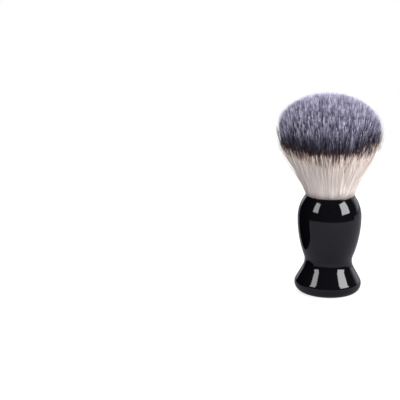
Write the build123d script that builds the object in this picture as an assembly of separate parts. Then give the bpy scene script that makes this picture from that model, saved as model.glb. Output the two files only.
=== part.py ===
"""Shaving brush: a glossy moulded handle with a weighted foot, and a fibre knot glued into its socket.

Every piece is turned about +Z, so each one is a half section, drawn as (radius, height), that is
revolved about Z. The origin is the centre of the flat ring that the brush stands on. Millimetres.
"""

from build123d import *
import math
import os

# Outside of the handle: a vase-shaped body above a flared foot, with the waist between them.
FOOT_R = 17.5
FOOT_RIM_R = 4.65  # round edge of the foot, from the flat ring below to the flare above
FLARE_ANGLE = 28.8  # of the flare's straight side, in degrees from upright
WAIST_FILLET_R = 7.6
BELLY_R = 16.62
BELLY_Z = 40.0
LOWER_BELLY_ARC_R = 58.0
SHOULDER_ARC_R = 19.5
LIP_R = 12.85
LIP_FILLET_R = 0.18
HANDLE_H = 51.8

# Inside of the handle: the knot's socket above, and a stepped core that is open below.
SOCKET_R = 12.25
SOCKET_DEPTH = 15.0
SOCKET_FLOOR = 2.5  # wall between the socket and the core
CORE_R = 9.4
CAP_R = 11.5
CAP_THICKNESS = 2.0
CAP_RECESS = 0.5  # the cap sits this far above the ring that the brush stands on
CAP_CLEARANCE = 0.05
CAP_CHAMFER = 0.3
CAP_DISH_R = 8.0
CAP_DISH_DEPTH = 0.4
BALLAST_R = 10.0
BALLAST_H = 9.8
BALLAST_CHAMFER = 0.6
BALLAST_CLEARANCE = 0.1

# Foot of the knot: fibre roots in a ring, held by a cast plug and a wound thread.
GLUE_UNDER = 0.5
GLUE_SIDE = 0.2
GLUE_H = 10.0
RING_WALL = 0.9
RING_H = 12.0
PLUG_H = 7.0
PLUG_BUMP = 1.5
THREAD_R = 0.3
THREAD_TURNS = 4
THREAD_GROOVE_R = 10.4
FIBRE_CLEARANCE = 0.05

# The fibres above the handle: a cone that opens out of the mouth into a wide, low dome.
BLOOM_R = 29.2
BLOOM_Z = 85.8
DOME_SHOULDER_R = 14.5
TOTAL_H = 106.0
DYE_Z = 76.5  # lower edge of the dyed part, on the outside of the cone

# The loose fibres bend about the middle of the mouth, where a sphere parts them from the roots.
BEND_Z = HANDLE_H
ROOT_SPHERE_R = 15.7
BEND_GAP = 0.3

# Heights and radii that follow from the ones above.
FOOT_FLAT_R = FOOT_R - FOOT_RIM_R
SOCKET_Z = HANDLE_H - SOCKET_DEPTH
CORE_TOP_Z = SOCKET_Z - SOCKET_FLOOR
CAP_TOP_Z = CAP_RECESS + CAP_THICKNESS
BALLAST_Z = CAP_TOP_Z + BALLAST_CLEARANCE
BALLAST_TOP_Z = BALLAST_Z + BALLAST_H
RING_R = SOCKET_R - GLUE_SIDE
RING_BORE_R = RING_R - RING_WALL
RING_Z = SOCKET_Z + GLUE_UNDER
RING_TOP_Z = RING_Z + RING_H
PLUG_TOP_Z = RING_Z + PLUG_H
THREAD_Z = PLUG_TOP_Z + THREAD_R
THREAD_TOP_Z = THREAD_Z + 2 * THREAD_R * THREAD_TURNS
NECK_R = SOCKET_R - FIBRE_CLEARANCE


def block(low_r, high_r, low_z, high_z):
    """Half section of a plain ring or disc."""
    centre = Pos((low_r + high_r) / 2, (low_z + high_z) / 2)
    return centre * Rectangle(high_r - low_r, high_z - low_z)


def corner(section, r, z):
    """The section's vertex nearest to a point."""
    return min(section.vertices(), key=lambda v: math.hypot(v.X - r, v.Y - z))


def top_corners(section, z):
    """The section's vertices at one height."""
    return [v for v in section.vertices() if abs(v.Y - z) < 1e-3]


def turned(section):
    """The solid that a half section makes when it turns about Z."""
    return revolve(Plane.XZ * section, Axis.Z)


def flare_meets_belly(low_r, low_z):
    """Where the flare's straight side, drawn up from its lower end, meets the lower belly arc."""
    a = math.radians(FLARE_ANGLE)
    dr, dz = -math.sin(a), math.cos(a)
    from_centre_r = low_r - (BELLY_R - LOWER_BELLY_ARC_R)
    from_centre_z = low_z - BELLY_Z
    half_b = from_centre_r * dr + from_centre_z * dz
    c = from_centre_r**2 + from_centre_z**2 - LOWER_BELLY_ARC_R**2
    along = -half_b - math.sqrt(half_b**2 - c)
    return low_r + along * dr, low_z + along * dz


def handle_outside():
    """Half section of the whole handle with nothing taken out of it."""
    a = math.radians(FLARE_ANGLE)
    flare = (FOOT_FLAT_R + FOOT_RIM_R * math.cos(a), FOOT_RIM_R * (1 + math.sin(a)))
    waist = flare_meets_belly(*flare)
    belly_start = -math.degrees(math.asin((BELLY_Z - waist[1]) / LOWER_BELLY_ARC_R))
    shoulder_centre_r = BELLY_R - SHOULDER_ARC_R
    shoulder_turn = math.degrees(math.acos((LIP_R - shoulder_centre_r) / SHOULDER_ARC_R))
    lip_z = BELLY_Z + SHOULDER_ARC_R * math.sin(math.radians(shoulder_turn))
    outline = [
        Line((0, 0), (FOOT_FLAT_R, 0)),
        CenterArc((FOOT_FLAT_R, FOOT_RIM_R), FOOT_RIM_R, -90, 90 + FLARE_ANGLE),
        Line(flare, waist),
        CenterArc((BELLY_R - LOWER_BELLY_ARC_R, BELLY_Z), LOWER_BELLY_ARC_R, belly_start, -belly_start),
        CenterArc((shoulder_centre_r, BELLY_Z), SHOULDER_ARC_R, 0, shoulder_turn),
        Polyline((LIP_R, lip_z), (LIP_R, HANDLE_H), (0, HANDLE_H), (0, 0)),
    ]
    section = make_face(Curve() + outline)
    return fillet(corner(section, *waist), WAIST_FILLET_R)


def handle_body():
    """One moulding, with the knot's socket in its mouth and a stepped core that is open below."""
    section = handle_outside()
    section -= block(0, SOCKET_R, SOCKET_Z, HANDLE_H)
    section -= block(0, CORE_R, 0, CORE_TOP_Z)
    section -= block(0, BALLAST_R + BALLAST_CLEARANCE, 0, BALLAST_TOP_Z + BALLAST_CLEARANCE)
    section -= block(0, CAP_R, 0, CAP_TOP_Z)
    return turned(fillet(top_corners(section, HANDLE_H), LIP_FILLET_R))


def ballast_slug():
    """Steel weight that keeps the brush upright, between the cap and the step in the core."""
    section = block(0, BALLAST_R, BALLAST_Z, BALLAST_TOP_Z)
    edges = [corner(section, BALLAST_R, z) for z in (BALLAST_Z, BALLAST_TOP_Z)]
    return turned(chamfer(edges, BALLAST_CHAMFER))


def base_cap():
    """Disc that closes the core. It stands clear of the table, and is dished in the middle."""
    radius = CAP_R - CAP_CLEARANCE
    section = block(0, radius, CAP_RECESS, CAP_TOP_Z)
    section = chamfer(corner(section, radius, CAP_RECESS), CAP_CHAMFER)
    section -= block(0, CAP_DISH_R, CAP_RECESS, CAP_RECESS + CAP_DISH_DEPTH)
    return turned(section)


def socket_adhesive():
    """Epoxy bed between the knot's ring and the socket."""
    section = block(0, SOCKET_R, SOCKET_Z, SOCKET_Z + GLUE_H)
    return turned(section - block(0, RING_R, RING_Z, SOCKET_Z + GLUE_H))


def knot_ring():
    """Plastic ring round the fibre roots, with a rounded mouth."""
    section = block(RING_BORE_R, RING_R, RING_Z, RING_TOP_Z)
    return turned(fillet(top_corners(section, RING_TOP_Z), RING_WALL / 3))


def plug_section():
    """Half section of the cast plug: a disc with a low bump on top."""
    bump_r = (RING_BORE_R**2 + PLUG_BUMP**2) / (2 * PLUG_BUMP)
    ball = Pos(0, PLUG_TOP_Z + PLUG_BUMP - bump_r) * Circle(bump_r)
    return ball & block(0, RING_BORE_R, RING_Z, PLUG_TOP_Z + PLUG_BUMP)


def binding_thread():
    """Turns of thread wound round the roots just above the plug, side by side."""
    major = THREAD_GROOVE_R + FIBRE_CLEARANCE + THREAD_R
    heights = [THREAD_Z + THREAD_R + 2 * THREAD_R * i for i in range(THREAD_TURNS)]
    return Compound([Pos(0, 0, z) * Torus(major, THREAD_R - FIBRE_CLEARANCE / 4) for z in heights])


def dome_arcs():
    """The dome's outline: an arc round its shoulder, then one over its crown, in one smooth line.

    The side of the cone leans away from upright until it just touches the shoulder's arc.
    """
    shoulder_r = BLOOM_R - DOME_SHOULDER_R
    rise = TOTAL_H - BLOOM_Z
    crown_arc_r = (shoulder_r**2 + rise**2 - DOME_SHOULDER_R**2) / (2 * (rise - DOME_SHOULDER_R))
    crown_start = math.degrees(math.asin((BLOOM_Z - TOTAL_H + crown_arc_r) / (crown_arc_r - DOME_SHOULDER_R)))
    out, up = shoulder_r - NECK_R, BLOOM_Z - HANDLE_H
    lean = math.degrees(math.atan2(out, up) + math.asin(DOME_SHOULDER_R / math.hypot(out, up)))
    return [
        CenterArc((shoulder_r, BLOOM_Z), DOME_SHOULDER_R, -lean, lean + crown_start),
        CenterArc((0, TOTAL_H - crown_arc_r), crown_arc_r, crown_start, 90 - crown_start),
    ]


def fibre_outside():
    """Half section of all the fibres, from the plug to the top of the dome."""
    root_r = RING_BORE_R - FIBRE_CLEARANCE
    shoulder, crown = dome_arcs()
    lower = Polyline(
        (0, RING_Z),
        (THREAD_GROOVE_R, RING_Z),
        (THREAD_GROOVE_R, THREAD_TOP_Z),
        (root_r, THREAD_TOP_Z + FIBRE_CLEARANCE),
        (root_r, RING_TOP_Z),
        (NECK_R, HANDLE_H),
        shoulder @ 0,
    )
    return make_face(Curve() + [lower, shoulder, crown, Line((0, TOTAL_H), (0, RING_Z))])


def bend_ball(radius):
    """Half section of a ball about the point where the loose fibres bend."""
    return Pos(0, BEND_Z) * Circle(radius) & block(0, radius, BEND_Z - radius, BEND_Z + radius)


def main():
    plug = plug_section()
    fibres = fibre_outside()
    roots = fibres & (bend_ball(ROOT_SPHERE_R) + block(0, NECK_R, RING_Z, BEND_Z)) - plug
    loose = (fibres & block(0, BLOOM_R, BEND_Z, TOTAL_H)) - bend_ball(ROOT_SPHERE_R + BEND_GAP)
    nodes = {
        "handle_body": handle_body(),
        "ballast_slug": ballast_slug(),
        "base_cap": base_cap(),
        "socket_adhesive": socket_adhesive(),
        "knot_ring": knot_ring(),
        "knot_plug": turned(plug),
        "binding_thread": binding_thread(),
        "bristle_roots": turned(roots),
        "bristle_shafts": turned(loose & block(0, BLOOM_R, BEND_Z, DYE_Z)),
        "bristle_tips": turned(loose & block(0, BLOOM_R, DYE_Z, TOTAL_H)),
    }
    os.makedirs("parts", exist_ok=True)
    for name, shape in nodes.items():
        export_step(shape, f"parts/{name}.step")


main()
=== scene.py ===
"""Shaving brush: the looks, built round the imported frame. Metres, +Z up, origin under the foot.

The knot is thousands of separate tapered fibres over a core. The outer ones start in the handle's mouth,
and the inner ones inside the core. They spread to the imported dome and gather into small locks.
"""

import math

import bpy
import numpy as np
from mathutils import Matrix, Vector, kdtree


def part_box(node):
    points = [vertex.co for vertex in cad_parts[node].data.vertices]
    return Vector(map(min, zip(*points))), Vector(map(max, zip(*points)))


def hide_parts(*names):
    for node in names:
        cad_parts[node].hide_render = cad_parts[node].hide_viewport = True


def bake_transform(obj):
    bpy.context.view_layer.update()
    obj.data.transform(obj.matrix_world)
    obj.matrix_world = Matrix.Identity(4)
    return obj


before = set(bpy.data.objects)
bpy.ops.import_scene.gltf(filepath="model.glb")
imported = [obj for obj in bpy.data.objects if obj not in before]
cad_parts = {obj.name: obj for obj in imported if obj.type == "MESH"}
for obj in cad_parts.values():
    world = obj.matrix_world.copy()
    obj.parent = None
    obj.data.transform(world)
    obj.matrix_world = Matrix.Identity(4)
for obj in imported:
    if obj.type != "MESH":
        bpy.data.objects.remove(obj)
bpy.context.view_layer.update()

MM = 0.001
SEED = 1947

# ---- Places taken from the frame ----
mouth_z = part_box("handle_body")[1].z
ring_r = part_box("knot_ring")[1].x
top_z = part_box("bristle_tips")[1].z
dye_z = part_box("bristle_tips")[0].z

# ---- Camera ----
CAMERA_LENS = 90.0
CAMERA_PITCH = math.radians(13.0)
CAMERA_PLACE = Vector((-0.0676, -0.507, 0.1660))

# ---- Stage ----
FLOOR_SIDE = 6.0
FLOOR_FADE = (0.25, 0.7)  # between these distances the floor stops taking shadow
TABLE_R = 0.275  # the front of the table that lights the brush and shows in its gloss
TABLE_COLOUR = (0.175, 0.172, 0.2, 1)
FLAG_PLACE = (-0.088, 0.025)  # a black form beside the brush, seen only in its gloss
FLAG_R = 0.046
FLAG_H = 0.088
FLAG_SIDES = 48
TABLE_DROP = 0.2 * MM  # the table lies this far under the floor
FLOOR_GLOW = 0.7  # share of the floor near the brush that takes no shadow

# ---- Lights ----
# direction from the brush in degrees (0 is in front, + is right), half width, lowest and highest angle
KEY_BOX = {"azimuth": 55.5, "half_width": 16.5, "low": 12.0, "high": 43.5, "radiance": 9.6}
FILL_BOX = {"azimuth": -62.0, "half_width": 10.5, "low": 16.0, "high": 42.5, "radiance": 6.7}
BOX_DISTANCE = 0.8
BOX_FOCUS_Z = 0.03
FRONT_LIGHT = {"azimuth": 14.0, "half_width": 36.0, "low": 6.0, "high": 40.0, "radiance": 8.7}
REAR_LIGHT = {"azimuth": 195.0, "half_width": 34.0, "low": 10.0, "high": 42.0, "radiance": 4.5}
SKY_TOP = 5.0  # radiance overhead
SKY_BACK = 1.0  # behind the brush
SKY_FRONT = 0.02
SKY_BACK_EDGE = (0.25, 0.6)  # how far back and how far up the sky's two bright parts begin and are full
SKY_TOP_EDGE = (0.88, 0.96)

# ---- Fibres ----
FIBRES = 30000
LOCKS = 4600
TUFTS = 2400  # larger groups whose fibres took the dye alike
TUFT_SHARE = 0.85  # share of the fibres that have the dye of their tuft
SECTORS = 10
SHADES = 64
SIDES = 3
FIBRE_R = 0.078 * MM
TIP_R = 0.012 * MM
TAPER = 9.0 * MM
TAPER_POWER = 0.8
RING_SPACING = 0.85  # below 1, the rings are nearer to each other towards the tip
MAP_RANGE = (0.005, 0.99)
SIDE_NUDGE = (-0.2, 0.2, 0.0)  # in strands; keeps a fibre's sides apart in the map, inside its strand
ROOT_DEPTH = 1.5 * MM
ROOT_SPREAD = 0.975
ROOT_LEAN = math.radians(17.5)
TIP_LEAN = math.radians(13.0)
EDGE_TIP_ANGLE = math.radians(36.5)  # beyond this, seen from the mouth, the tips thin out
LAST_TIP_ANGLE = math.radians(45.5)
LAST_TIP_DENSITY = 0.45
BODY_WIDTH = 0.865  # the dense part of the knot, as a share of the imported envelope
BODY_HEIGHT = 0.988
SHORT_LOCKS = 0.10  # share of the outermost locks that end lower, with pale tips in the dark band
SHORT_DROP = (2.0 * MM, 9.0 * MM)
OUTLIERS = 0.10  # share of the fibres that end between the dense part and the envelope
HANDLE_REACH = 0.35  # of each end of the fibre's Bezier curve, as a share of its length
OUTER_SHARE = 0.80  # fibres further out than this are drawn from the root
INNER_LENGTH = 17.0 * MM  # of the others only this much is drawn, from the tip down
LEAN = 1.9 * MM  # the knot leans to the left by this much at its top
UNDYED = 29.0 * MM  # from the root, along the fibre, to the dye's edge
DYE_RANGE = (6.0 * MM, 16.0 * MM)  # shortest and longest dyed length
DYE_LINE = (-1.4 * MM, 2.1 * MM, 5.0 * MM)  # added across the knot: at its middle, slant, dish
FADE = 5.5 * MM  # the brown fades to cream over this length
EDGE_V, CREAM_V = 0.3, 0.08  # places in the map: the dye's edge, and where the cream begins
EDGE_SPREAD = 0.80  # how ragged the dye's edge is
TIP_SPREAD = 0.10  # how much the tips differ in tone
TIP_MIDDLE = 0.6  # the strand whose tip keeps its tone
PALE_POWER = 6.0  # the higher, the fewer strands took less dye
PALE_SHARE = 1.0
PALE_START, PALE_FADE = 0.06, 0.15  # in the map, past the dye's edge: where they begin, and how gently
TONE = (0.88, 0.2)  # each strand's tone: the least, and how much more it can be
PULL = (0.3, 0.9)  # how far a fibre's tip moves to the middle of its lock
CROWN_PULL = 0.25  # that pull's share on the crown, where the locks hardly show
RIM_START = 0.45  # from this share of the way out the locks get deeper
LOCK_SHIFT = 0.009
LOCK_DROP = (0.25, 2.2)  # millimetres that a lock ends short: on the crown, and added at the rim
FIBRE_DROP = 0.4 * MM
SHORT_FROM = 0.9  # the outermost fibres, from this share of the way out
OUTLIER_REACH = 0.9
OUTLIER_POWER = 1.6
GATHER_POWER = 3.5  # the higher, the nearer the tip a fibre turns into its lock
BOW = 0.10 * MM
ASIDE = 0.9 * MM
OUTER_STEPS, INNER_STEPS = 7, 5

# ---- Core ----
CORE_SIDES = 96
CORE_SHARE = 0.965  # how far out its side lies, as a share of the fibres at the root
CORE_STEPS = 24
CORE_TOP_SHARE = 0.86
CORE_TOP_RINGS = 16
CORE_INSET = 5.5 * MM  # its top lies this far under the tips
CORE_DYE_BELOW = 2.0 * MM  # its dye starts this far under the fibres' dye
CORE_DYE_H = 4.0 * MM  # and is full after this height

rng = np.random.default_rng(SEED)


# ---------------------------------------------------------------- node helpers
def new_material(name):
    """An empty material with a Principled shader: (material, nodes, links, shader)."""
    material = bpy.data.materials.new(name)
    material.use_nodes = True
    tree = material.node_tree
    tree.nodes.clear()
    output = tree.nodes.new("ShaderNodeOutputMaterial")
    shader = tree.nodes.new("ShaderNodeBsdfPrincipled")
    tree.links.new(shader.outputs["BSDF"], output.inputs["Surface"])
    return material, tree.nodes, tree.links, shader


def srgb(red, green, blue):
    """Linear colour, with alpha, from the 0 to 255 values a screen shows."""
    shares = [c / 255 for c in (red, green, blue)]
    return tuple(c / 12.92 if c < 0.0404 else ((c + 0.055) / 1.055) ** 2.4 for c in shares) + (1,)


def ramp(nodes, stops):
    """A colour ramp with these (position, colour) stops."""
    node = nodes.new("ShaderNodeValToRGB")
    elements = node.color_ramp.elements
    while len(elements) > 1:
        elements.remove(elements[-1])
    elements[0].position, elements[0].color = stops[0]
    for position, colour in stops[1:]:
        elements.new(position).color = colour
    return node


def maths(nodes, links, operation, a, b=None, clamp=False):
    """A math node on sockets or numbers; gives its output."""
    node = nodes.new("ShaderNodeMath")
    node.operation = operation
    node.use_clamp = clamp
    for socket, value in zip(node.inputs, (a, b)):
        if value is None:
            continue
        if isinstance(value, (int, float)):
            socket.default_value = value
        else:
            links.new(value, socket)
    return node.outputs[0]


# ---------------------------------------------------------------- materials
def fibre_material():
    """Dyed filament: pale tip (partly its own colour, partly painted light shining through the thin
    ends), lavender grey, black band, short brown edge, then cream to the root.

    The map's u picks one of SHADES strands. Its v is 1 at the tip, EDGE_V at the dye's edge, CREAM_V
    where the cream begins and 0 at the root.
    """
    material, nodes, links, shader = new_material("dyed_filament_and_painted_tip_light")
    uv = nodes.new("ShaderNodeUVMap")
    uv.uv_map = "OFBake"
    parts = nodes.new("ShaderNodeSeparateXYZ")
    links.new(uv.outputs["UV"], parts.inputs[0])
    strand = maths(nodes, links, "MULTIPLY", parts.outputs["X"], float(SHADES))
    strand = maths(nodes, links, "FLOOR", strand)
    noise = nodes.new("ShaderNodeTexWhiteNoise")
    noise.noise_dimensions = "1D"
    links.new(strand, noise.inputs["W"])
    dice = nodes.new("ShaderNodeSeparateColor")
    links.new(noise.outputs["Color"], dice.inputs[0])

    # each strand's dye ends in its own place, which fades out towards the root and the tip
    edge = maths(nodes, links, "SUBTRACT", dice.outputs[0], 0.5)
    edge = maths(nodes, links, "MULTIPLY", edge, EDGE_SPREAD)
    near = maths(nodes, links, "DIVIDE", parts.outputs["Y"], EDGE_V, clamp=True)
    rest = maths(nodes, links, "SUBTRACT", 1.0, parts.outputs["Y"])
    near = maths(nodes, links, "MULTIPLY", near, rest)
    share = maths(nodes, links, "MULTIPLY", near, edge)
    worn = maths(nodes, links, "SUBTRACT", dice.outputs[1], TIP_MIDDLE)
    worn = maths(nodes, links, "MULTIPLY", worn, TIP_SPREAD)
    worn = maths(nodes, links, "MULTIPLY", worn, parts.outputs["Y"])
    share = maths(nodes, links, "ADD", share, worn)
    place = maths(nodes, links, "ADD", parts.outputs["Y"], share, clamp=True)

    def along(dyed):
        """The place in the map of this share of the dyed length, 0 at its edge and 1 at the tip."""
        return EDGE_V + (1 - EDGE_V) * dyed

    stops = [
        (0.0, srgb(202, 193, 188)),
        (CREAM_V / 2, srgb(218, 208, 201)),
        (CREAM_V, srgb(228, 217, 209)),
        (along(-0.16), srgb(222, 209, 200)),
        (along(-0.06), srgb(170, 134, 112)),
        (along(0.0), srgb(98, 62, 46)),
        (along(0.11), srgb(48, 29, 21)),
        (along(0.26), srgb(14, 10, 13)),
        (along(0.45), srgb(16, 14, 20)),
        (along(0.65), srgb(28, 26, 36)),
        (along(0.80), srgb(53, 51, 67)),
        (along(0.91), srgb(102, 99, 124)),
        # the pale tip end: partly the filament's own colour, partly painted light for light shining
        # through the thin ends
        (1.0, srgb(222, 219, 238)),
    ]
    colours = ramp(nodes, stops)
    links.new(place, colours.inputs[0])

    # some strands took less dye, so pale streaks run down through the dark band
    pale = maths(nodes, links, "POWER", dice.outputs[1], PALE_POWER)
    band = maths(nodes, links, "SUBTRACT", place, EDGE_V + PALE_START)
    band = maths(nodes, links, "DIVIDE", band, PALE_FADE, clamp=True)
    pale = maths(nodes, links, "MULTIPLY", pale, band)
    pale = maths(nodes, links, "MULTIPLY", pale, PALE_SHARE)
    streaked = nodes.new("ShaderNodeMix")
    streaked.data_type = "RGBA"
    links.new(pale, streaked.inputs["Factor"])
    links.new(colours.outputs["Color"], streaked.inputs[6])
    streaked.inputs[7].default_value = srgb(156, 152, 173)

    tone = maths(nodes, links, "MULTIPLY", dice.outputs[2], TONE[1])
    tone = maths(nodes, links, "ADD", tone, TONE[0])
    mix = nodes.new("ShaderNodeVectorMath")
    mix.operation = "SCALE"
    links.new(streaked.outputs[2], mix.inputs[0])
    links.new(tone, mix.inputs["Scale"])
    links.new(mix.outputs[0], shader.inputs["Base Color"])
    shader.inputs["Roughness"].default_value = 0.45
    shader.inputs["Specular IOR Level"].default_value = 0.3
    return material


def core_material():
    """The shaded mass between the fibres: cream low down, near black under the dyed ends.

    Its dye line is set by height in the world.
    """
    material, nodes, links, shader = new_material("fibre_mass")
    place = nodes.new("ShaderNodeNewGeometry")
    parts = nodes.new("ShaderNodeSeparateXYZ")
    links.new(place.outputs["Position"], parts.inputs[0])
    streaks = nodes.new("ShaderNodeTexNoise")
    streaks.inputs["Scale"].default_value = 900.0
    rise = maths(nodes, links, "SUBTRACT", parts.outputs["Z"], dye_z - CORE_DYE_BELOW)
    rise = maths(nodes, links, "DIVIDE", rise, CORE_DYE_H)
    shift = maths(nodes, links, "SUBTRACT", streaks.outputs["Fac"], 0.5)
    rough_edge = maths(nodes, links, "ADD", rise, shift, clamp=True)
    stops = [
        (0.0, srgb(222, 211, 203)),
        (0.45, srgb(120, 98, 88)),
        (0.7, srgb(30, 24, 26)),
        (1.0, srgb(32, 30, 40)),
    ]
    colours = ramp(nodes, stops)
    links.new(rough_edge, colours.inputs[0])
    links.new(colours.outputs["Color"], shader.inputs["Base Color"])
    shader.inputs["Roughness"].default_value = 0.9
    shader.inputs["Specular IOR Level"].default_value = 0.1
    return material


def gloss_material():
    """Polished black moulding: deep gloss with a trace of orange peel and rub marks."""
    material, nodes, links, shader = new_material("polished_black")
    rubs = nodes.new("ShaderNodeTexNoise")
    rubs.inputs["Scale"].default_value = 260.0
    rubs.inputs["Detail"].default_value = 6.0
    wear = nodes.new("ShaderNodeMapRange")
    wear.inputs["From Min"].default_value = 0.35
    wear.inputs["From Max"].default_value = 0.8
    wear.inputs["To Min"].default_value = 0.03
    wear.inputs["To Max"].default_value = 0.075
    links.new(rubs.outputs["Fac"], wear.inputs["Value"])
    links.new(wear.outputs["Result"], shader.inputs["Roughness"])
    peel = nodes.new("ShaderNodeTexNoise")
    peel.inputs["Scale"].default_value = 420.0
    peel.inputs["Detail"].default_value = 1.0
    bump = nodes.new("ShaderNodeBump")
    bump.inputs["Strength"].default_value = 0.012
    bump.inputs["Distance"].default_value = 0.4 * MM
    links.new(peel.outputs["Fac"], bump.inputs["Height"])
    links.new(bump.outputs["Normal"], shader.inputs["Normal"])
    shader.inputs["Base Color"].default_value = (0.0018, 0.0017, 0.0024, 1)
    shader.inputs["IOR"].default_value = 1.52
    return material


def grained_material(name, colour, roughness, scale, strength, metallic=0.0, spread=0.25):
    """A plain finish with a fine grain in its tone and surface."""
    material, nodes, links, shader = new_material(name)
    grain = nodes.new("ShaderNodeTexNoise")
    grain.inputs["Scale"].default_value = scale
    grain.inputs["Detail"].default_value = 4.0
    dark = tuple(c * (1 - spread) for c in colour[:3]) + (1,)
    light = tuple(min(1.0, c * (1 + spread)) for c in colour[:3]) + (1,)
    tones = ramp(nodes, [(0.3, dark), (0.7, light)])
    links.new(grain.outputs["Fac"], tones.inputs[0])
    links.new(tones.outputs["Color"], shader.inputs["Base Color"])
    bump = nodes.new("ShaderNodeBump")
    bump.inputs["Strength"].default_value = strength
    bump.inputs["Distance"].default_value = 0.1 * MM
    links.new(grain.outputs["Fac"], bump.inputs["Height"])
    links.new(bump.outputs["Normal"], shader.inputs["Normal"])
    shader.inputs["Roughness"].default_value = roughness
    shader.inputs["Metallic"].default_value = metallic
    return material


def dress(node, material):
    """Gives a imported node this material."""
    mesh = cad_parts[node].data
    mesh.materials.clear()
    mesh.materials.append(material)


# ---------------------------------------------------------------- fibres
def dome_reach():
    """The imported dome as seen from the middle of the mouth: (angles from +Z, distances)."""
    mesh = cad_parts["bristle_tips"].data
    place = np.empty(len(mesh.vertices) * 3, np.float32)
    mesh.vertices.foreach_get("co", place)
    place = place.reshape(-1, 3).astype(float)
    out = np.hypot(place[:, 0], place[:, 1])
    dome = place[:, 2] > place[:, 2].min() + 0.3 * MM
    out, up = out[dome], place[dome, 2] - mouth_z
    angle, first = np.unique(np.round(np.arctan2(out, up), 5), return_index=True)
    return angle, np.hypot(out, up)[first]


def tip_angle_table():
    """How far out on the dome a fibre ends, for its share of the way out at the root.

    The tips are spread evenly over the dome, and thin out down its side.
    """
    angle, distance = dome_reach()
    fine = np.linspace(0, LAST_TIP_ANGLE, 400)
    reach = np.interp(fine, angle, distance)
    out, up = reach * np.sin(fine), reach * np.cos(fine)
    step = np.hypot(np.diff(out), np.diff(up))
    density = np.interp(fine[1:], (EDGE_TIP_ANGLE, LAST_TIP_ANGLE), (1, LAST_TIP_DENSITY))
    tips = np.concatenate([[0], np.cumsum(density * step * (out[1:] + out[:-1]) / 2)])
    return np.sqrt(tips / tips[-1]), fine, reach


def on_disc(count, jitter):
    """Evenly spread places on a disc of radius 1."""
    index = np.arange(count) + 0.5
    share = np.sqrt(index / count)
    turn = index * math.pi * (3 - math.sqrt(5))
    places = np.stack([share * np.cos(turn), share * np.sin(turn)], 1)
    places += rng.normal(0, jitter / math.sqrt(count), places.shape)
    size = np.hypot(places[:, 0], places[:, 1])
    return places / np.maximum(1.0, size)[:, None]


def nearest(places, centres):
    """For each place on the disc, the index of the nearest centre."""
    tree = kdtree.KDTree(len(centres))
    for i, (x, y) in enumerate(centres):
        tree.insert((x, y, 0), i)
    tree.balance()
    return np.array([tree.find((x, y, 0))[1] for x, y in places])


def dome_points(places, drop, size):
    """Places on the dome, (n, 3) from the middle of the mouth, for places on a disc of radius 1.

    drop is how far short of the dome each one is, and size its (width, height) share of it.
    """
    share_table, angle_table, reach_table = TIPS
    share = np.minimum(np.hypot(places[:, 0], places[:, 1]), 1)
    turn = np.arctan2(places[:, 1], places[:, 0])
    angle = np.interp(share, share_table, angle_table)
    reach = np.interp(share, share_table, reach_table) - drop
    narrow = (1 - size[:, 0]) * (angle / LAST_TIP_ANGLE) ** 2
    out = reach * np.sin(angle) * (1 - narrow)
    return np.stack([out * np.cos(turn), out * np.sin(turn), reach * np.cos(angle) * size[:, 1]], 1)


def fibre_lines(places, tip_places, drop, size, steps, inner):
    """Centre lines of the fibres, (fibres, rings, 3), with each fibre's length, each point's share
    of it, and its dyed length.

    places are the roots and tip_places the ends, both on a disc of radius 1. Inner fibres start inside
    the core; outer ones have rings of their own at the two ends of the fading dye.
    """
    share = np.hypot(places[:, 0], places[:, 1])
    turn = np.arctan2(places[:, 1], places[:, 0])
    radial = np.stack([np.cos(turn), np.sin(turn), np.zeros(len(turn))], 1)
    up = np.array([0.0, 0.0, 1.0])
    root = radial * (share * ring_r * ROOT_SPREAD)[:, None] - up * ROOT_DEPTH
    tip = dome_points(places, drop, size)
    length = np.linalg.norm(tip - root, axis=1)
    reach = (length * HANDLE_REACH)[:, None]
    lean_0, lean_1 = (share * ROOT_LEAN)[:, None], (share * TIP_LEAN)[:, None]
    leaving = root + reach * (radial * np.sin(lean_0) + up * np.cos(lean_0))
    arriving = tip - reach * (radial * np.sin(lean_1) + up * np.cos(lean_1))

    across = places[:, 0]
    undyed = UNDYED + DYE_LINE[0] + DYE_LINE[1] * across + DYE_LINE[2] * across**2
    dyed = np.clip(length - undyed, *DYE_RANGE)
    even = np.linspace(0, 1, steps + 1)[None, :] ** RING_SPACING
    if inner:
        t = 1 - (INNER_LENGTH / length)[:, None] * (1 - even)
    else:
        edge = np.stack([1 - dyed / length, 1 - (dyed + FADE) / length], 1)
        t = np.sort(np.concatenate([np.repeat(even, len(places), 0), edge], 1), 1)
    t = t[:, :, None]
    lines = (1 - t) ** 3 * root[:, None] + 3 * t * (1 - t) ** 2 * leaving[:, None]
    lines += 3 * t**2 * (1 - t) * arriving[:, None] + t**3 * tip[:, None]
    gather = dome_points(tip_places, drop, size) - tip
    lines += t**GATHER_POWER * gather[:, None]
    lines[:, :, 0] -= LEAN * (lines[:, :, 2] / (top_z - mouth_z)).clip(0, 1)
    lines[:, :, 2] += mouth_z
    return lines, length, t[:, :, 0], dyed


def stray(lines, t, outlier):
    """Bends each fibre a little, and the outliers more."""
    count = len(lines)
    radial = lines[:, -1] * (1, 1, 0)
    radial /= np.maximum(np.linalg.norm(radial, axis=1), 1e-6)[:, None]
    sideways = np.cross((0, 0, 1), radial)
    bow = rng.normal(0, BOW, (count, 2))
    lift = np.sin(math.pi * t)[:, :, None]
    lines += lift * (bow[:, :1] * radial + bow[:, 1:] * sideways)[:, None, :]
    aside = np.where(outlier, rng.normal(0, ASIDE, count), 0)
    lines += (t**3)[:, :, None] * (aside[:, None] * sideways)[:, None, :]
    return lines


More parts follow.
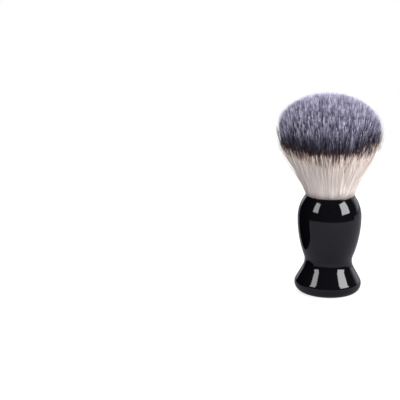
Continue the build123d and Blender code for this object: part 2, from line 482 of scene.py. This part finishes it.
def fibre_mesh(name, lines, length, t, dyed, strand):
    """One closed tapered prism for each centre line, with the map that picks its colour."""
    count, rings = lines.shape[:2]
    along = np.gradient(lines, axis=1)
    along /= np.linalg.norm(along, axis=2)[:, :, None]
    roll = rng.normal(size=(count, 1, 3))
    side = np.cross(along, roll)
    side /= np.linalg.norm(side, axis=2)[:, :, None]
    other = np.cross(along, side)
    to_tip = (1 - t) * length[:, None]
    thick = TIP_R + (FIBRE_R - TIP_R) * np.clip(to_tip / TAPER, 0, 1) ** TAPER_POWER
    turns = np.arange(SIDES) * 2 * math.pi / SIDES
    cosines, sines = (f(turns)[None, None, :, None] for f in (np.cos, np.sin))
    wheel = side[:, :, None] * cosines + other[:, :, None] * sines
    points = lines[:, :, None, :] + wheel * thick[:, :, None, None]

    base = (np.arange(count) * rings * SIDES)[:, None, None]
    ring = (np.arange(rings - 1) * SIDES)[None, :, None]
    corner = np.arange(SIDES)[None, None, :]
    after = (corner + 1) % SIDES
    low = base + ring
    quads = np.stack(
        [low + corner, low + after, low + after + SIDES, low + corner + SIDES], 3
    ).reshape(-1, 4)
    caps = np.concatenate(
        [
            (base[:, 0] + np.arange(SIDES)[::-1][None, :]),
            (base[:, 0] + (rings - 1) * SIDES + np.arange(SIDES)[None, :]),
        ]
    )
    mesh = bpy.data.meshes.new(name)
    mesh.vertices.add(points.size // 3)
    mesh.vertices.foreach_set("co", points.astype(np.float32).ravel())
    loops = np.concatenate([quads.ravel(), caps.ravel()])
    cap_starts = len(quads) * 4 + np.arange(len(caps)) * SIDES
    starts = np.concatenate([np.arange(len(quads)) * 4, cap_starts])
    mesh.loops.add(len(loops))
    mesh.loops.foreach_set("vertex_index", loops.astype(np.int32))
    mesh.polygons.add(len(starts))
    mesh.polygons.foreach_set("loop_start", starts.astype(np.int32))
    mesh.update(calc_edges=True)
    mesh.polygons.foreach_set("use_smooth", np.ones(len(starts), bool))

    column = (strand + 0.5) / SHADES
    dyed = dyed[:, None]
    beyond = to_tip - dyed
    fading = EDGE_V - (EDGE_V - CREAM_V) * beyond / FADE
    cream = CREAM_V * (1 - (beyond - FADE) / (length[:, None] - dyed - FADE))
    coloured = 1 - (1 - EDGE_V) * to_tip / dyed
    v = np.where(beyond < 0, coloured, np.where(beyond < FADE, fading, cream))
    v = np.clip(v, *MAP_RANGE)
    nudge = np.array(SIDE_NUDGE) / SHADES
    u_map = np.repeat((column[:, None] + nudge[None, :])[:, None, :], rings, 1)
    v_map = np.repeat(v[:, :, None], SIDES, 2)
    uv = np.stack([u_map, v_map], 3).reshape(-1, 2)[loops]
    layer = mesh.uv_layers.new(name="OFBake")
    layer.data.foreach_set("uv", uv.astype(np.float32).ravel())
    return mesh


def add_object(name, mesh, material):
    """An object of this mesh and material, in the scene."""
    mesh.materials.append(material)
    piece = bpy.data.objects.new(name, mesh)
    bpy.context.scene.collection.objects.link(piece)
    return piece


def bend_with_knot(piece):
    """Bakes the piece's placement into its mesh, and hides the imported bristle parts."""
    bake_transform(piece)
    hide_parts("bristle_roots", "bristle_shafts", "bristle_tips")


def make_fibres(material):
    """All the fibres, in SECTORS pieces."""
    count = FIBRES
    places = on_disc(count, 0.35)
    locks = on_disc(LOCKS, 0.7)
    lock = nearest(places, locks)
    share = np.hypot(places[:, 0], places[:, 1])
    rim = np.clip((share - RIM_START) / (1 - RIM_START), 0, 1)
    pull = rng.uniform(*PULL, LOCKS)[lock]
    pull = pull * (CROWN_PULL + (1 - CROWN_PULL) * rim)
    lock_shift = rng.normal(0, LOCK_SHIFT, (LOCKS, 2))[lock]
    tip_places = places + (locks[lock] - places) * pull[:, None] + lock_shift
    lock_drop = np.abs(rng.normal(0, 1.0, LOCKS))[lock] * (LOCK_DROP[0] + LOCK_DROP[1] * rim**2) * MM
    drop = lock_drop + rng.exponential(FIBRE_DROP, count)
    short = (rng.random(LOCKS) < SHORT_LOCKS)[lock] & (share > SHORT_FROM)
    drop += np.where(short, rng.uniform(*SHORT_DROP, LOCKS)[lock], 0)
    outlier = (rng.random(count) < OUTLIERS) & ~short
    toward = rng.uniform(0, OUTLIER_REACH, count) ** OUTLIER_POWER
    toward = np.where(outlier, toward, 0)
    drop = np.where(outlier, 0, drop)
    size = np.stack([body + (1 - body) * toward for body in (BODY_WIDTH, BODY_HEIGHT)], 1)
    round_share = np.arctan2(places[:, 1], places[:, 0]) / (2 * math.pi) + 0.5
    sector = (round_share * SECTORS).astype(int) % SECTORS
    tuft = nearest(places, on_disc(TUFTS, 0.7))
    alike = rng.random(count) < TUFT_SHARE
    strand = np.where(alike, rng.integers(0, SHADES, TUFTS)[tuft], rng.integers(0, SHADES, count))
    outer = share > OUTER_SHARE
    for i in range(SECTORS):
        for shell, chosen, steps in (("outer", outer, OUTER_STEPS), ("inner", ~outer, INNER_STEPS)):
            mine = chosen & (sector == i)
            lines, length, t, dyed = fibre_lines(
                places[mine], tip_places[mine], drop[mine], size[mine], steps, shell == "inner"
            )
            lines = stray(lines, t, outlier[mine])
            mesh = fibre_mesh(f"fibres_{shell}_{i + 1}", lines, length, t, dyed, strand[mine])
            bend_with_knot(add_object(mesh.name, mesh, material))


def make_core(material):
    """The mass the outer fibres lie on, a turned form a little inside them."""
    around = CORE_SIDES
    places = np.array([[CORE_SHARE, 0.0]])
    body = np.array([[BODY_WIDTH, BODY_HEIGHT]])
    line = fibre_lines(places, places, np.zeros(1), body, CORE_STEPS, False)[0]
    side = line[0][line[0, :, 2] < dye_z + 1 * MM][:, [0, 2]]
    share = np.linspace(CORE_TOP_SHARE, 0, CORE_TOP_RINGS)
    ring = np.stack([share, np.zeros(CORE_TOP_RINGS)], 1)
    inset = np.full(CORE_TOP_RINGS, CORE_INSET)
    top = dome_points(ring, inset, np.repeat(body, CORE_TOP_RINGS, 0))[:, [0, 2]]
    top[:, 1] += mouth_z
    top = top[top[:, 1] > side[-1, 1] + 1 * MM]
    outline = np.concatenate([side, top[:-1]])
    turn = np.arange(around) * 2 * math.pi / around
    rings = [(r * math.cos(a), r * math.sin(a), z) for r, z in outline for a in turn]
    bottom, tip = len(rings), len(rings) + 1
    points = rings + [(0, 0, outline[0, 1]), (0, 0, top[-1, 1])]
    faces = []
    for i in range(len(outline) - 1):
        for j in range(around):
            k = (j + 1) % around
            faces.append((i * around + j, i * around + k, (i + 1) * around + k, (i + 1) * around + j))
    last = (len(outline) - 1) * around
    for j in range(around):
        k = (j + 1) % around
        faces.append((bottom, k, j))
        faces.append((last + j, last + k, tip))
    mesh = bpy.data.meshes.new("fibre_core")
    mesh.from_pydata(points, [], faces)
    mesh.polygons.foreach_set("use_smooth", np.ones(len(faces), bool))
    bend_with_knot(add_object("fibre_core", mesh, material))


# ---------------------------------------------------------------- stage
def make_camera():
    """The camera, in front of the brush and to its left, looking down at it."""
    data = bpy.data.cameras.new("camera")
    data.lens = CAMERA_LENS
    data.sensor_width = 36.0
    camera = bpy.data.objects.new("camera", data)
    camera.location = CAMERA_PLACE
    camera.rotation_euler = (math.pi / 2 - CAMERA_PITCH, 0, 0)
    bpy.context.scene.collection.objects.link(camera)
    bpy.context.scene.camera = camera


def flat_object(name, outline, material, z=0.0):
    """A flat staged sheet with this outline, counter-clockwise."""
    mesh = bpy.data.meshes.new(name)
    mesh.from_pydata([(x, y, z) for x, y in outline], [], [list(range(len(outline)))])
    sheet = add_object(name, mesh, material)
    return sheet


def make_floor():
    """A white floor for the camera, and just under it a grey table that lights the brush."""
    material, nodes, links, shader = new_material("white_floor")
    shader.inputs["Base Color"].default_value = (0.9, 0.9, 0.9, 1)
    shader.inputs["Roughness"].default_value = 1.0
    shader.inputs["Specular IOR Level"].default_value = 0.0
    glow = nodes.new("ShaderNodeEmission")
    place = nodes.new("ShaderNodeNewGeometry")
    away = nodes.new("ShaderNodeVectorMath")
    away.operation = "LENGTH"
    links.new(place.outputs["Position"], away.inputs[0])
    fade = nodes.new("ShaderNodeMapRange")
    fade.interpolation_type = "SMOOTHSTEP"
    fade.inputs["From Min"].default_value = FLOOR_FADE[0]
    fade.inputs["From Max"].default_value = FLOOR_FADE[1]
    fade.inputs["To Min"].default_value = FLOOR_GLOW
    fade.inputs["To Max"].default_value = 1.0
    links.new(away.outputs["Value"], fade.inputs["Value"])
    mix = nodes.new("ShaderNodeMixShader")
    links.new(fade.outputs["Result"], mix.inputs[0])
    links.new(shader.outputs[0], mix.inputs[1])
    links.new(glow.outputs[0], mix.inputs[2])
    links.new(mix.outputs[0], nodes["Material Output"].inputs["Surface"])
    half = FLOOR_SIDE / 2
    seen = flat_object("floor", [(-half, -half), (half, -half), (half, half), (-half, half)], material)
    seen.visible_glossy = seen.visible_diffuse = seen.visible_transmission = seen.visible_shadow = False

    grey, _, _, shader = new_material("grey_table")
    shader.inputs["Base Color"].default_value = TABLE_COLOUR
    shader.inputs["Roughness"].default_value = 1.0
    shader.inputs["Specular IOR Level"].default_value = 0.0
    turns = np.linspace(math.pi, 2 * math.pi, 49)
    front = [(TABLE_R * math.cos(a), TABLE_R * math.sin(a)) for a in turns]
    back = [(half, 0), (half, half), (-half, half), (-half, 0)]
    lit = flat_object("table", front + back, grey, z=-TABLE_DROP)
    lit.visible_camera = False


def make_flag():
    """A black turned form beside the brush; only the gloss of the handle shows it."""
    material, _, _, shader = new_material("black_flag")
    shader.inputs["Base Color"].default_value = (0.002, 0.002, 0.002, 1)
    shader.inputs["Roughness"].default_value = 0.9
    shader.inputs["Specular IOR Level"].default_value = 0.0
    turns = np.linspace(0, 2 * math.pi, FLAG_SIDES, endpoint=False)
    x, y = FLAG_PLACE
    ring = [(x + FLAG_R * math.cos(a), y + FLAG_R * math.sin(a)) for a in turns]
    points = [(x, y, 0.5 * MM) for x, y in ring] + [(x, y, FLAG_H) for x, y in ring]
    after = [(i + 1) % FLAG_SIDES for i in range(FLAG_SIDES)]
    sides = [(i, j, j + FLAG_SIDES, i + FLAG_SIDES) for i, j in enumerate(after)]
    mesh = bpy.data.meshes.new("black_flag")
    mesh.from_pydata(points, [], sides + [tuple(range(FLAG_SIDES, 2 * FLAG_SIDES))])
    flag = add_object("black_flag", mesh, material)
    flag.visible_camera = flag.visible_diffuse = flag.visible_shadow = flag.visible_transmission = False


def make_box(name, spec, mirrored=True):
    """A softbox that covers the stated angles, seen from the brush. Mirrored ones show in its gloss."""
    azimuth = math.radians(spec["azimuth"])
    low = BOX_FOCUS_Z + BOX_DISTANCE * math.tan(math.radians(spec["low"]))
    high = BOX_FOCUS_Z + BOX_DISTANCE * math.tan(math.radians(spec["high"]))
    data = bpy.data.lights.new(name, "AREA")
    data.shape = "RECTANGLE"
    data.size = 2 * BOX_DISTANCE * math.tan(math.radians(spec["half_width"]))
    data.size_y = high - low
    data.energy = spec["radiance"] * math.pi * data.size * data.size_y
    light = bpy.data.objects.new(name, data)
    across, back = BOX_DISTANCE * math.sin(azimuth), -BOX_DISTANCE * math.cos(azimuth)
    light.location = (across, back, (low + high) / 2)
    light.rotation_euler = (math.pi / 2, 0, azimuth)
    light.visible_camera = False
    light.visible_glossy = mirrored
    bpy.context.scene.collection.objects.link(light)


def make_sky():
    """Soft light from overhead and behind, with a dark studio in front; the camera sees white."""
    world = bpy.data.worlds.new("studio")
    bpy.context.scene.world = world
    world.use_nodes = True
    nodes, links = world.node_tree.nodes, world.node_tree.links
    nodes.clear()
    output = nodes.new("ShaderNodeOutputWorld")
    view = nodes.new("ShaderNodeTexCoord")
    parts = nodes.new("ShaderNodeSeparateXYZ")
    links.new(view.outputs["Generated"], parts.inputs[0])
    back = nodes.new("ShaderNodeMapRange")
    back.interpolation_type = "SMOOTHSTEP"
    back.inputs["From Min"].default_value = SKY_BACK_EDGE[0]
    back.inputs["From Max"].default_value = SKY_BACK_EDGE[1]
    back.inputs["To Min"].default_value = SKY_FRONT
    back.inputs["To Max"].default_value = SKY_BACK
    links.new(parts.outputs["Y"], back.inputs["Value"])
    top = nodes.new("ShaderNodeMapRange")
    top.interpolation_type = "SMOOTHSTEP"
    top.inputs["From Min"].default_value = SKY_TOP_EDGE[0]
    top.inputs["From Max"].default_value = SKY_TOP_EDGE[1]
    top.inputs["To Min"].default_value = 0.0
    top.inputs["To Max"].default_value = SKY_TOP
    links.new(parts.outputs["Z"], top.inputs["Value"])
    strength = maths(nodes, links, "ADD", back.outputs["Result"], top.outputs["Result"])
    lit = nodes.new("ShaderNodeBackground")
    links.new(strength, lit.inputs["Strength"])
    white = nodes.new("ShaderNodeBackground")
    white.inputs["Strength"].default_value = 1.0
    white.inputs["Color"].default_value = (1, 1, 1, 1)
    lit.inputs["Color"].default_value = (1, 1, 1, 1)
    path = nodes.new("ShaderNodeLightPath")
    mix = nodes.new("ShaderNodeMixShader")
    links.new(path.outputs["Is Camera Ray"], mix.inputs[0])
    links.new(lit.outputs[0], mix.inputs[1])
    links.new(white.outputs[0], mix.inputs[2])
    links.new(mix.outputs[0], output.inputs["Surface"])


# ---------------------------------------------------------------- the scene
TIPS = tip_angle_table()
make_camera()
make_floor()
make_box("key_softbox", KEY_BOX)
make_box("fill_softbox", FILL_BOX)
make_box("front_light", FRONT_LIGHT, mirrored=False)
make_box("rear_light", REAR_LIGHT, mirrored=False)
make_flag()
make_sky()
bpy.context.scene.view_settings.view_transform = "Standard"

dress("handle_body", gloss_material())
dress("base_cap", grained_material("textured_black", (0.02, 0.02, 0.021), 0.55, 2500.0, 0.4))
zinc = grained_material("zinc_plate", (0.55, 0.55, 0.53), 0.32, 1800.0, 0.15, metallic=1.0)
dress("ballast_slug", zinc)
dress("socket_adhesive", grained_material("cast_epoxy", (0.45, 0.34, 0.18), 0.25, 600.0, 0.1))
dress("knot_ring", grained_material("ring_plastic", (0.72, 0.69, 0.62), 0.4, 1500.0, 0.1, spread=0.06))
dress("knot_plug", grained_material("plug_resin", (0.36, 0.25, 0.12), 0.2, 500.0, 0.1))
dress("binding_thread", grained_material("waxed_twine", (0.7, 0.66, 0.56), 0.75, 4000.0, 0.6))
make_core(core_material())
make_fibres(fibre_material())
